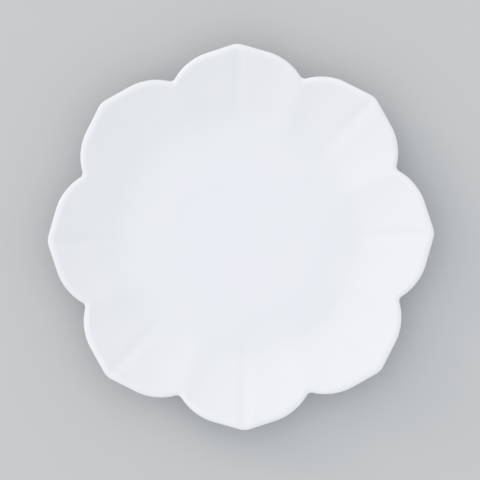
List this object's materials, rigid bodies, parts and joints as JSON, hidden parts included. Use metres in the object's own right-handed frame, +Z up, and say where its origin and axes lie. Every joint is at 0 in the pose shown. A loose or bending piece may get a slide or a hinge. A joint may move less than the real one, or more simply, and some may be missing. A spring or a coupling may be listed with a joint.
{
  "type": "scalloped dessert plate",
  "caption": "Shallow white porcelain plate with a flat round well and a flaring rim of pointed, cupped petals, standing on a low foot ring.",
  "frame": {"origin": "middle of the foot ring's standing face, on the surface that the plate stands on", "axes": "+Z up, through the middle of the plate; +X through the point of one petal, +Y through the point of the petal a quarter turn on"},
  "size_m": [0.216, 0.216, 0.0209],
  "materials": {
    "glazed_porcelain": "clear glossy glaze over cool white porcelain",
    "bare_porcelain": "unglazed fired porcelain, rubbed smooth where the plate stands"
  },
  "bodies": {
    "root": {"plate_body": "glazed_porcelain", "foot_ring": "bare_porcelain"}
  },
  "joints": []
}
